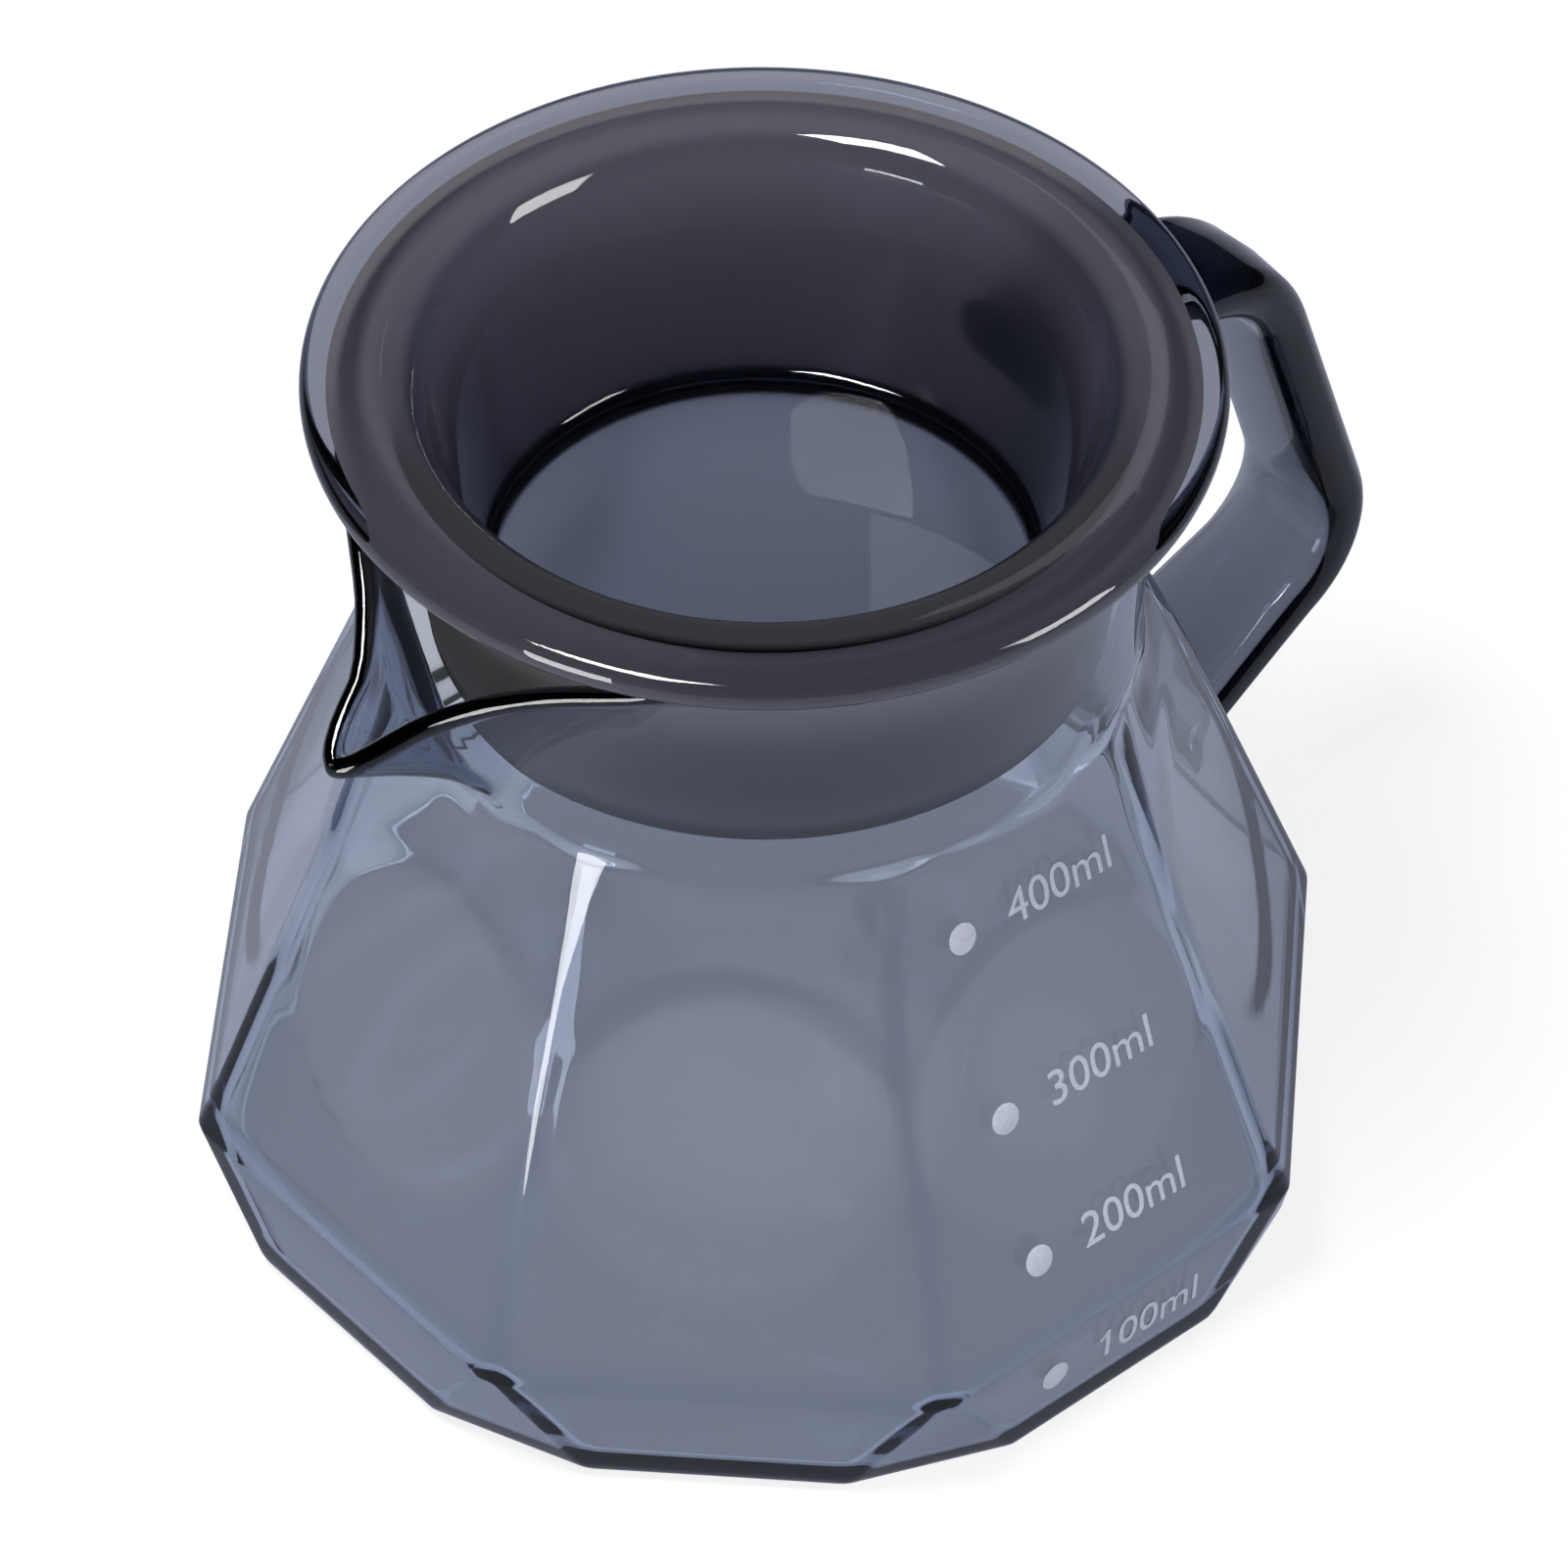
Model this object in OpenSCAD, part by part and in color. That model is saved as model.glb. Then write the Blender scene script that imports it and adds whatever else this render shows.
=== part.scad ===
// Coffee server carafe: a faceted glass vessel with a pouring spout, a strap
// handle fused to its side, a loose glass stopper lid and fired volume marks.
// The foot stands on the XY plane with the vessel's axis on Z. The handle
// points along +X, the spout along -X, and the marks face -Y.

/* [Body] */
// Width of the belt across opposite flat facets
belt_across = 109.4; // [104:0.2:116]
// Height of the belt above the table
belt_height = 13.6; // [11:0.1:17]
// How far the flat facets draw in from the belt to the foot
foot_tuck = 0.8; // [0.2:0.1:2.4]
// How much further out than the flat facets the corner facets stand at the foot
corner_stand = 0.6; // [0.2:0.1:2]
// How far the corner facets cut the points of the belt back
belt_blunt = 0.3; // [0.2:0.05:1]
// Height at which the flat facets run out in the neck
facet_height = 64; // [60:0.5:68]
// Thickness of the blown wall
wall = 2.6; // [2:0.1:3.2]
// Thickness of the glass under the drink
base_thickness = 3; // [2.4:0.1:5]
// Slope of extra glass round the inside of the foot
heel = 3.5; // [2:0.1:6]

/* [Neck] */
// Outer width of the neck at its waist
neck_width = 74; // [70:0.2:78]
// How far the rim flares out beyond the neck, on each side
rim_flare = 4.5; // [3:0.1:6]
// Height of the rim above the table
rim_height = 96.8; // [93:0.2:101]
// Radius of the blend from the facets into the neck
shoulder_radius = 30; // [22:0.5:36]
// Radius of the melted edges of the rim
rim_round = 0.9; // [0.4:0.05:0.95]

/* [Spout] */
// Reach of the spout's tip from the axis
spout_reach = 54.8; // [51:0.2:59]
// Height of the lip at the spout's tip
spout_height = 81.6; // [79:0.2:86]
// Angle of the spout's sides from upright
spout_spread = 37; // [34:0.5:40]
// Outer radius of the spout's keel
spout_round = 3; // [2.6:0.1:3.6]
// Thickness of the spout's wall
spout_wall = 2.1; // [1.6:0.1:2.4]
// Height at which the spout's keel meets the neck
keel_height = 70.5; // [68:0.5:74]
// Distance from the axis at which the rim starts to dip
dip_start = 32; // [29:0.5:35]

/* [Handle] */
// Width of the strap
strap_width = 14.4; // [11:0.2:17]
// Thickness of the strap
strap_thickness = 6; // [4.5:0.1:7]
// Radius of the strap's long edges
strap_round = 2.3; // [1:0.1:2.4]
// Distance of the strap's upper arm below the rim, at mid thickness
handle_drop = 16; // [13.8:0.2:18.8]
// Distance of the upper corner from the axis, at mid thickness
handle_shoulder = 60.2; // [57:0.2:63]
// Distance of the outer corner from the axis, at mid thickness
handle_reach = 75.6; // [72:0.2:80]
// Height of the outer corner, at mid thickness
handle_elbow_height = 37.2; // [34:0.2:41]
// Height at which the strap's lower arm meets the body, at mid thickness
handle_foot_height = 24.8; // [22:0.2:28]
// Radius of the upper bend, at mid thickness
shoulder_bend = 9.4; // [7:0.1:11]
// Radius of the outer bend, at mid thickness
elbow_bend = 8.8; // [6:0.1:10]

/* [Lid] */
// How far the lid's flange hangs out over the rim
flange_overhang = 3.1; // [2:0.1:4.5]
// Thickness of the lid's flange
flange_thickness = 3.6; // [2.8:0.1:4.5]
// Height of the stopper's bottom above the waist of the neck
plug_rise = 0.9; // [0:0.1:4]
// Gap between the stopper's bottom edge and the neck
plug_gap = 1.6; // [1.4:0.1:3.4]
// How much wider the stopper is under the flange than at its bottom, on each side
plug_taper = 3.5; // [2.2:0.1:4.2]
// Radius of the stopper's bottom edge
plug_round = 2.5; // [1.5:0.1:3.5]
// Radius under the flange
flange_fillet = 1.6; // [0.8:0.1:1.8]
// Thickness of the cup's wall at its mouth
cup_mouth_wall = 2.8; // [2.3:0.1:4.3]
// Thickness of the cup's wall at its floor, before the corner is rounded
cup_floor_wall = 5.3; // [4.3:0.1:7.8]
// Thickness of the cup's floor
cup_floor_thickness = 6.2; // [5:0.1:7.5]
// Radius of the corner round the cup's floor
cup_floor_round = 3; // [2:0.1:4]
// Radius of the cup's lip
cup_lip_round = 6; // [3:0.1:7]

/* [Marks] */
// Distance of the 100 ml mark below the belt
drop_100ml = 5.2; // [3:0.1:6]
// Height of the 200 ml mark
height_200ml = 22.7; // [19:0.1:27]
// Height of the 300 ml mark
height_300ml = 38.4; // [33:0.1:43]
// Distance of the 400 ml mark below the end of the facets
drop_400ml = 6; // [3.6:0.1:9]
// Width of a dot
dot_width = 3.3; // [2.4:0.1:4]
// Distance of the dots from the middle of the facet
dot_offset = 8.2; // [7:0.1:10]
// Distance from the middle of a dot to its reading
label_gap = 5.8; // [3:0.1:6.5]
// Height of the figures
label_height = 3.8; // [3:0.1:4.4]
// Thickness of the fired enamel
enamel = 0.25; // [0.15:0.05:0.4]

/* [Hidden] */
$fn = 96;

glass = [0.36, 0.38, 0.45, 0.6];
white_enamel = [0.86, 0.87, 0.9];

// How far cuts run past the surfaces that they open
overrun = 5;
// How far the strap's bends stand proud of its arms
bend_swell = 0.06;
// How far the strap's arms run into its bends
arm_seat = 0.5;
// Steps of the arcs in turned outlines
arc_steps = 12;
facet_count = 8;
facet_angle = 360 / facet_count;

// Body
belt_flat = belt_across / 2;
foot_flat = belt_flat - foot_tuck;
foot_corner = foot_flat + corner_stand;
belt_corner = belt_flat / cos(facet_angle / 2);
neck_radius = neck_width / 2;
rim_radius = neck_radius + rim_flare;
facet_lean = (belt_flat - neck_radius) / (facet_height - belt_height);
lean_angle = atan(facet_lean);
foot_angle = atan((belt_flat - foot_flat) / belt_height);
corner_lean = (belt_corner - belt_blunt - foot_corner) / belt_height;
// Share of the inscribed width at which the inside corners are rounded off
inner_corner_share = 1.04;
// Share of the shoulder radius by which the neck's waist stands above the facets
waist_share = 0.13;
waist_height = facet_height + waist_share * shoulder_radius;
// Height at which the corners between the facets are well inside the neck
facet_top = belt_height + (belt_flat - neck_radius * cos(facet_angle / 2)) / facet_lean + wall;
// Extra turn that sinks the end of the shoulder's arc into the facets
sink_turn = 1.5;
shoulder_turn = lean_angle + sink_turn;
flare_rise = rim_height - waist_height;
flare_radius = (pow(flare_rise, 2) + pow(rim_flare, 2)) / (2 * rim_flare);
flare_turn = asin(flare_rise / flare_radius);

height_100ml = belt_height - drop_100ml;
height_400ml = facet_height - drop_400ml;

// Half width of the flat facets at a height above the belt
function flat_at(height) = belt_flat - facet_lean * (height - belt_height);
// Points of an arc in a turned outline
function arc(centre, radius, from, to) =
    [for (i = [0:arc_steps]) let (a = from + (to - from) * i / arc_steps)
        centre + radius * [cos(a), sin(a)]];
// Outline of the neck from below the shoulder to the rim, an inset inside the outer face
function neck_line(inset) = concat(
    arc([neck_radius + shoulder_radius, waist_height], shoulder_radius + inset,
        180 + shoulder_turn, 180),
    arc([neck_radius + flare_radius, waist_height], flare_radius + inset,
        180 - flare_turn / arc_steps, 180 - flare_turn));

// A bar along Y over an outline in the XZ plane, turned about the axis
module cross_bar(outline, half_length, turn) {
    rotate([0, 0, turn])
        rotate([90, 0, 0])
            linear_extrude(2 * half_length, center = true)
                polygon(outline);
}

// Mirrors the right half of an outline to give the whole of it
function both_sides(right) = concat(right, [for (i = [len(right) - 1:-1:0]) [-right[i].x, right[i].y]]);

// Eight flat facets above and below the belt, an inset inside the outer faces
module flat_facets(floor_height, inset) {
    slant_inset = inset / cos(lean_angle);
    outline = both_sides([
        [foot_flat - inset + floor_height * tan(foot_angle), floor_height],
        [belt_flat - slant_inset, belt_height],
        [flat_at(facet_top) - slant_inset, facet_top]]);
    intersection_for (i = [0:facet_count / 2 - 1])
        cross_bar(outline, belt_across, i * facet_angle);
}

// Eight corner facets below the points of the belt
module corner_facets() {
    outline = both_sides([
        [foot_corner, 0],
        [foot_corner + corner_lean * facet_top, facet_top]]);
    intersection_for (i = [0:facet_count / 2 - 1])
        cross_bar(outline, belt_across, (i + 1 / 2) * facet_angle);
}

// The neck and rim as a turned solid
module neck_solid() {
    line = neck_line(0);
    count = len(line);
    edge = arc([rim_radius - rim_round, rim_height - rim_round], rim_round, flare_turn / 2, 90);
    rotate_extrude()
        polygon(concat(
            [[0, line[0].y]],
            [for (i = [0:count - 2]) line[i]],
            edge,
            [[0, rim_height]]));
}

// The outside of the body, filled, without the spout
module body_solid() {
    intersection() {
        flat_facets(0, 0);
        corner_facets();
    }
    neck_solid();
}

// The space for the drink, open below for the foot
module body_space() {
    slant_wall = wall / cos(lean_angle);
    floor_flat = (foot_flat - wall) * inner_corner_share;
    bulge_height = belt_height + wall;
    through = base_thickness - overrun;
    intersection() {
        flat_facets(through, wall);
        rotate_extrude()
            polygon([
                [0, through],
                [floor_flat - heel, through],
                [floor_flat - heel, base_thickness],
                [floor_flat, base_thickness + heel],
                [(flat_at(bulge_height) - slant_wall) * inner_corner_share, bulge_height],
                [(flat_at(facet_top) - slant_wall) * inner_corner_share, facet_top],
                [0, facet_top]]);
    }
    line = neck_line(wall);
    count = len(line);
    mouth = rim_radius - wall / cos(flare_turn) + rim_round;
    edge = arc([mouth, rim_height - rim_round], rim_round, 180 - flare_turn / 2, 90);
    rotate_extrude()
        polygon(concat(
            [[0, line[0].y]],
            [for (i = [0:count - 2]) line[i]],
            edge,
            [[mouth, rim_height + overrun], [0, rim_height + overrun]]));
}

// A trough along the keel of the spout, an inset inside its outer face
module spout_trough(inset) {
    run = [spout_reach - neck_radius, spout_height - keel_height];
    depth = rim_height - keel_height;
    fold = spout_round - inset;
    half_top = fold * cos(spout_spread)
        + (depth - spout_round + fold * sin(spout_spread)) * tan(spout_spread);
    section = concat(
        arc([0, spout_round], fold, spout_spread - 180, -spout_spread),
        [[half_top, depth], [-half_top, depth]]);
    translate([-neck_radius, 0, keel_height])
        rotate([0, atan2(run.y, run.x), 0])
            rotate([90, 0, -90])
                translate([0, 0, -overrun])
                    linear_extrude(norm(run) + 2 * overrun)
                        polygon(section);
}

// What is cut away above the dipping lip of the spout
module lip_cut() {
    end = spout_reach + 2 * overrun;
    fall = (rim_height - spout_height) / (spout_reach - dip_start);
    rotate([90, 0, 0])
        linear_extrude(2 * belt_across, center = true)
            polygon([
                [-dip_start, rim_height],
                [-dip_start, 2 * rim_height],
                [-end, 2 * rim_height],
                [-end, rim_height - fall * (end - dip_start)]]);
}

// All that lies below the drink
module below_drink() {
    outline = both_sides([
        [belt_across, -overrun],
        [belt_across, base_thickness]]);
    cross_bar(outline, belt_across, 0);
}

// The slab of glass under the drink
module foot() {
    color(glass)
        intersection() {
            body_solid();
            below_drink();
        }
}

// The blown wall with its spout
module vessel() {
    color(glass)
        difference() {
            union() {
                body_solid();
                spout_trough(0);
            }
            body_space();
            below_drink();
            spout_trough(spout_wall);
            lip_cut();
        }
}

// Path of the strap in the XZ plane
handle_height = rim_height - handle_drop;
handle_root = [neck_radius - wall, handle_height];
handle_corner = [handle_shoulder, handle_height];
handle_elbow = [handle_reach, handle_elbow_height];
handle_foot = [flat_at(handle_foot_height), handle_foot_height];

function heading(from, to) = atan2(to.y - from.y, to.x - from.x);
function unit(angle) = [cos(angle), sin(angle)];

upper_heading = heading(handle_root, handle_corner);
outer_heading = heading(handle_corner, handle_elbow);
lower_heading = heading(handle_elbow, handle_foot);
corner_turn = upper_heading - outer_heading;
elbow_turn = outer_heading - lower_heading;
corner_cut = shoulder_bend * tan(corner_turn / 2);
elbow_cut = elbow_bend * tan(elbow_turn / 2);

// Section of the strap, thickness along X and width along Y
module strap_section(swell) {
    flat = [strap_thickness - 2 * strap_round, strap_width - 2 * strap_round];
    edge = strap_round + swell;
    square([flat.x, flat.y + 2 * edge], center = true);
    square([flat.x + 2 * edge, flat.y], center = true);
    for (x = [-flat.x / 2, flat.x / 2], y = [-flat.y / 2, flat.y / 2])
        translate([x, y]) circle(edge);
}

// A straight arm of the strap between two points, seated in the bends
module strap_arm(start, end) {
    angle = heading(start, end);
    foot = start - arm_seat * unit(angle);
    translate([foot.x, 0, foot.y])
        rotate([0, 90 - angle, 0])
            linear_extrude(norm(end - start) + 2 * arm_seat)
                strap_section(0);
}

// A bend of the strap that starts at a point and turns downwards
module strap_bend(start, angle, turn, radius) {
    centre = start + radius * unit(angle - 90);
    translate([centre.x, 0, centre.y])
        rotate([90, 0, 0])
            rotate([0, 0, angle + 90 - turn])
                rotate_extrude(angle = turn)
                    translate([radius, 0])
                        strap_section(bend_swell);
}

// The bent strap, cut where it is fused to the body
module handle() {
    corner_start = handle_corner - corner_cut * unit(upper_heading);
    corner_end = handle_corner + corner_cut * unit(outer_heading);
    elbow_start = handle_elbow - elbow_cut * unit(outer_heading);
    elbow_end = handle_elbow + elbow_cut * unit(lower_heading);
    color(glass)
        difference() {
            union() {
                strap_arm(handle_root, corner_start);
                strap_bend(corner_start, upper_heading, corner_turn, shoulder_bend);
                strap_arm(corner_end, elbow_start);
                strap_bend(elbow_start, outer_heading, elbow_turn, elbow_bend);
                strap_arm(elbow_end, handle_foot + strap_thickness * unit(lower_heading));
            }
            body_solid();
        }
}

// The stopper: a flange on the rim and an open cup in the neck
module lid() {
    plug_bottom = waist_height + plug_rise;
    plug_foot = neck_radius - wall - plug_gap;
    plug_top = plug_foot + plug_taper;
    half_flange = flange_thickness / 2;
    flange_edge = rim_radius + flange_overhang - half_flange;
    flange_top = rim_height + flange_thickness;
    floor_height = plug_bottom + cup_floor_thickness;
    mouth = plug_top - cup_mouth_wall;
    floor_edge = plug_foot - cup_floor_wall;
    wall_angle = atan2(flange_top - floor_height, mouth - floor_edge);
    outline = concat(
        [[0, plug_bottom]],
        arc([plug_foot - plug_round, plug_bottom + plug_round], plug_round, -90, 0),
        arc([plug_top + flange_fillet, rim_height - flange_fillet], flange_fillet, 180, 90),
        arc([flange_edge, rim_height + half_flange], half_flange, -90, 90),
        arc([mouth + cup_lip_round, flange_top - cup_lip_round], cup_lip_round, 90, 90 + wall_angle),
        arc([floor_edge - cup_floor_round, floor_height + cup_floor_round], cup_floor_round,
            wall_angle - 90, -90),
        [[0, floor_height]]);
    color(glass)
        rotate_extrude()
            polygon(outline);
}

// Places a flat mark on the front facet at a height, across from its middle
module on_facet(across, height) {
    low = height < belt_height;
    flat = low ? foot_flat + height * tan(foot_angle) : flat_at(height);
    angle = low ? -foot_angle : lean_angle;
    color(white_enamel)
        translate([across, -flat, height])
            rotate([90 - angle, 0, 0])
                linear_extrude(enamel)
                    children();
}

// A round dot
module dot(height) {
    on_facet(-dot_offset, height) circle(d = dot_width);
}

// Figures, drawn as strokes in shares of their height
stroke_share = 0.13;
figure_width_share = 0.58;
figure_gap_share = 0.16;
letter_height_share = 0.72;
letter_width_share = 0.92;
four_bar_share = 0.24;
one_flag_share = 0.24;
stroke = stroke_share * label_height;
figure_width = figure_width_share * label_height;
figure_gap = figure_gap_share * label_height;
letter_height = letter_height_share * label_height;
letter_width = letter_width_share * label_height;

module ring(width) {
    difference() {
        circle(d = width);
        circle(d = width - 2 * stroke);
    }
}

// An upright loop with round ends
module loop(width, height) {
    translate([width / 2, width / 2]) circle(d = width);
    translate([width / 2, height - width / 2]) circle(d = width);
    translate([0, width / 2]) square([width, height - width]);
}

module figure_0() {
    difference() {
        loop(figure_width, label_height);
        translate([stroke, stroke]) loop(figure_width - 2 * stroke, label_height - 2 * stroke);
    }
}

module figure_1() {
    flag = one_flag_share * label_height;
    stem = figure_width / 2;
    polygon([[stem, 0], [stem + stroke, 0], [stem + stroke, label_height], [stem, label_height],
             [stem - flag, label_height - flag], [stem - flag, label_height - flag - stroke],
             [stem, label_height - stroke]]);
}

module figure_2() {
    middle = label_height - figure_width / 2;
    translate([figure_width / 2, middle])
        intersection() {
            ring(figure_width);
            translate([-figure_width / 2, 0]) square([figure_width, figure_width / 2]);
        }
    polygon([[figure_width, middle], [figure_width - stroke, middle], [0, stroke], [stroke, stroke]]);
    square([figure_width, stroke]);
}

module figure_3() {
    bowl = (label_height + stroke) / 2;
    for (top = [0, 1])
        translate([figure_width - bowl / 2, top ? label_height - bowl / 2 : bowl / 2])
            mirror([0, 1 - top])
                difference() {
                    ring(bowl);
                    translate([-bowl, -bowl]) square(bowl);
                }
}

module figure_4() {
    bar = four_bar_share * label_height;
    stem = figure_width - 2 * stroke;
    lean = stem / (label_height - bar);
    difference() {
        polygon([[stem, 0], [stem + stroke, 0], [stem + stroke, bar], [figure_width, bar],
                 [figure_width, bar + stroke], [stem + stroke, bar + stroke],
                 [stem + stroke, label_height], [stem, label_height], [0, bar + stroke],
                 [0, bar], [stem, bar]]);
        polygon([[stem, bar + stroke], [stem, label_height - 2 * stroke],
                 [2 * stroke * lean, bar + stroke]]);
    }
}

module letter_m() {
    arch = (letter_width + stroke) / 2;
    square([stroke, letter_height]);
    for (x = [arch / 2, letter_width - arch / 2])
        translate([x, letter_height - arch / 2]) {
            intersection() {
                ring(arch);
                translate([-arch / 2, 0]) square([arch, arch / 2]);
            }
            translate([arch / 2 - stroke, arch / 2 - letter_height])
                square([stroke, letter_height - arch / 2]);
        }
}

module letter_l() {
    square([stroke, label_height]);
}

// A reading of so many hundred millilitres
module label(hundreds, height) {
    step = figure_width + figure_gap;
    on_facet(label_gap - dot_offset, height)
        translate([0, -label_height / 2]) {
            if (hundreds == 1) figure_1();
            if (hundreds == 2) figure_2();
            if (hundreds == 3) figure_3();
            if (hundreds == 4) figure_4();
            translate([step, 0]) figure_0();
            translate([2 * step, 0]) figure_0();
            translate([3 * step, 0]) letter_m();
            translate([3 * step + letter_width + figure_gap, 0]) letter_l();
        }
}

vessel();
foot();
handle();
lid();
dot(height_100ml);  // dot_100ml
dot(height_200ml);  // dot_200ml
dot(height_300ml);  // dot_300ml
dot(height_400ml);  // dot_400ml
label(1, height_100ml);  // label_100ml
label(2, height_200ml);  // label_200ml
label(3, height_300ml);  // label_300ml
label(4, height_400ml);  // label_400ml
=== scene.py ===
import math

import bpy
import numpy as np
from mathutils import Matrix, Quaternion, Vector


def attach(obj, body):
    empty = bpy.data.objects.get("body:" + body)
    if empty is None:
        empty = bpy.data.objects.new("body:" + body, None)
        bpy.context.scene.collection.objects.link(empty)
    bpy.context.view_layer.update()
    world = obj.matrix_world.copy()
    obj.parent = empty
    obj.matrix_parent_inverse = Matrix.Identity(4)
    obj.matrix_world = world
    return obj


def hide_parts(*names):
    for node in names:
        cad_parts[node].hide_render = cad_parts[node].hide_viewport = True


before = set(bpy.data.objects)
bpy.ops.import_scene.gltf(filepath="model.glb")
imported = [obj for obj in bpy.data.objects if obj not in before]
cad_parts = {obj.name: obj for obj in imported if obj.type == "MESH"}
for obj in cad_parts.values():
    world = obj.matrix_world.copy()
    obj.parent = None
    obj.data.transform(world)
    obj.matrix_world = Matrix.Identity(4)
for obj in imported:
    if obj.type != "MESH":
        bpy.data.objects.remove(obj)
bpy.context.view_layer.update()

# A smoked-glass coffee server: faceted vessel with a pulled spout, strap handle,
# stopper lid and fired volume marks. Sizes of the pieces are in millimetres and their
# angles in degrees. The stage and the materials are in metres.
MM = 0.001
MERGE = 0.000002

# Vessel: the facets, from the foot over the belt to where they fade into the neck
FACETS = 8
HALF_FACET = 22.5
BELT_FLAT, BELT_HEIGHT = 54.7, 13.6
FOOT_FLAT, FOOT_CORNER = 53.9, 54.5
BELT_CORNER = BELT_FLAT / math.cos(math.radians(HALF_FACET)) - 0.3
FACET_LEAN = 17.7 / 50.4
EDGE_SOFT, FACET_SOFT = 0.14, 0.9
FADE_START, FADE_LENGTH, FADE_SOFT = 50, 16, 3.5
FOOT_ROUND = 2.0
PUSH_UP_RADIUS, PUSH_UP_DEPTH = 21.0, 0.6

# Vessel: the inside, with a thin spot behind each facet
BASE_THICKNESS, HEEL_ROUND, HEEL_GAP = 2.2, 1.5, 0.5
WALL, CORNER_EXTRA = 2.0, 0.45
INNER_SOFT, INNER_CORNER_SOFT, INNER_ROUNDING = 1.6, 0.6, 0.04
SPOT_RADIUS, SPOT_HEIGHT, SPOT_DEPTH, SPOT_EDGE = 17.0, 39.0, 0.35, 3

# Vessel: the neck, its lip and the spout
NECK_RADIUS, NECK_START, NECK_SOFT, NECK_RUN_IN = 37.0, 67.0, 0.7, 56
WAIST_HEIGHT, SHOULDER_RADIUS, FLARE_RADIUS = 67.9, 30.0, 95.0
SHOULDER_DROP, SHOULDER_SINK = 10.7, 0.12
SPOUT_SWEEP, SWEEP_GAIN, SWEEP_TURN = 1.3, 0.9, 20
LIP_HALF, LIP_PASSES = 1.1, 4
# How far round from the spout's tip, how high the lip's top is there,
# and how far the spout stands out of the neck
LIP_TURN = [0, 2, 3.2, 4.4, 6.7, 10, 14, 19, 24, 31, 38, 45]
LIP_HEIGHT = [81.5, 81.8, 82.5, 83.6, 85.6, 87.7, 89.6, 91.6, 93.0, 94.6, 96.0, 96.8]
LIP_BULGE = [16.1, 15.3, 14.1, 12.3, 8.7, 6.3, 4.3, 2.8, 1.8, 0.95, 0.35, 0]

# Vessel: where the rings of its skin lie, from the underside over the lip to the floor
PUSH_UP_RINGS = (3, 7, 11, 14, 16.5, 18.3, 19.5, 20.4, 21.2)
SOLE_SHARES = (0.1, 0.35, 0.65, 0.88, 0.97)
FOOT_ARC = (90, 68, 45, 22, 0)
BODY_HEIGHTS = [3, 4, 5, 6, 7, 8, 10, 11.5, 12.4, 12.9, 13.2, 13.4, 13.53, 13.67, 13.8,
                14.0, 14.3, 14.8, 15.6, 17, *np.linspace(18.5, 54.5, 25),
                *np.arange(55.5, 66, 1), 66.3]
NECK_SHARES = np.concatenate([np.linspace(0, 0.8, 18), np.linspace(0.84, 1, 6)])
LIP_ARC = (22, 45, 68, 90, 112, 135, 158)
HEEL_ARC = (90, 75, 60, 45, 30, 15, 0)
FLOOR_SHARES = (0.94, 0.8, 0.6, 0.42, 0.25, 0.1)

# Vessel: where its columns stand, by shares of a half facet and by steps along the edges
FACET_SHARES = np.linspace(-1, 1, 27)
SPOUT_SHARES = np.array([0, 0.7, 1.4, 2.2, 3.1, 4.1, 5.2, 6.5, 8.0, 9.8, 11.8,
                         14.0, 16.4, 18.8]) / 20.9
SPOUT_SHARES = np.concatenate([-SPOUT_SHARES[:0:-1], SPOUT_SHARES])
EDGE_STEP, CORNER_LEAST, CORNER_MOST = 0.5, 0.6, 11

# Handle, at the middle of the strap
STRAP_WIDTH, STRAP_THICKNESS, STRAP_ROUND = 14.4, 6.0, 2.7
STRAP_GRIP_WIDTH, STRAP_FOOT_WIDTH = 15.4, 17.6
STRAP_CROWN = 0.8
HANDLE_ROOT, HANDLE_FOOT_HEIGHT = 36.6, 23.6
HANDLE_CORNER, HANDLE_ELBOW = (61.2, 81.8), (75.9, 36.4)
CORNER_BEND, ELBOW_BEND = 15.0, 11.0
BEND_STEPS, ARM_STEPS = 14, 6
CREASE = 50
# How the fused ends narrow and flare: lengths drawn out, and the swelling after each
ROOT_SWELL, FOOT_FLARE = 1.22, 4.6
ROOT_STEPS = ((1.6, 0.95), (0.8, 0.95), (0.8, 0.955), (1.0, 0.97), (1.6, 0.981))
FOOT_STEPS = ((1.4, 1.015), (1.0, 1.02), (0.9, 1.03), (0.8, 1.045), (0.9, 1.05), (2.4, 1.0))

# Lid
FLANGE_RADIUS, FLANGE_TOP, FLANGE_UNDER, FLANGE_FILLET = 44.6, 100.4, 96.9, 3.1
PLUG_BOTTOM, PLUG_TOP_RADIUS, PLUG_FOOT_RADIUS = 68.8, 36.3, 32.8
PLUG_HOLLOW, PLUG_ROUND, PLUG_SIDE = 2.9, 2.5, 22.5
CUP_MOUTH_RADIUS, CUP_FLOOR_RADIUS, CUP_FLOOR = 33.5, 27.5, 75.0
CUP_LIP_ROUND, CUP_LIP_SETBACK, CUP_HEEL_ROUND = 4.5, 0.8, 1.5
# Radius and rise of the points under the plug, in its hollow and on its foot ring
HOLLOW_POINTS = ((0, 0), (10, 0), (20, 0), (25.5, 0), (26.6, -0.2), (27.2, -0.7))
FOOT_RING_POINTS = ((28.2, 0.7), (28.8, 0.2), (29.6, 0))
PLUG_SHARES, CUP_SHARES = (0.05, 0.3, 0.6, 0.85), (0.3, 0.45, 0.65, 0.82)
SEAT_RADII, FLANGE_TOP_RADII, CUP_FLOOR_RADII = (40.6, 42.2), (41.5, 39), (24.5, 20, 10, 0)
LID_SPIN_STEPS = 160

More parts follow.
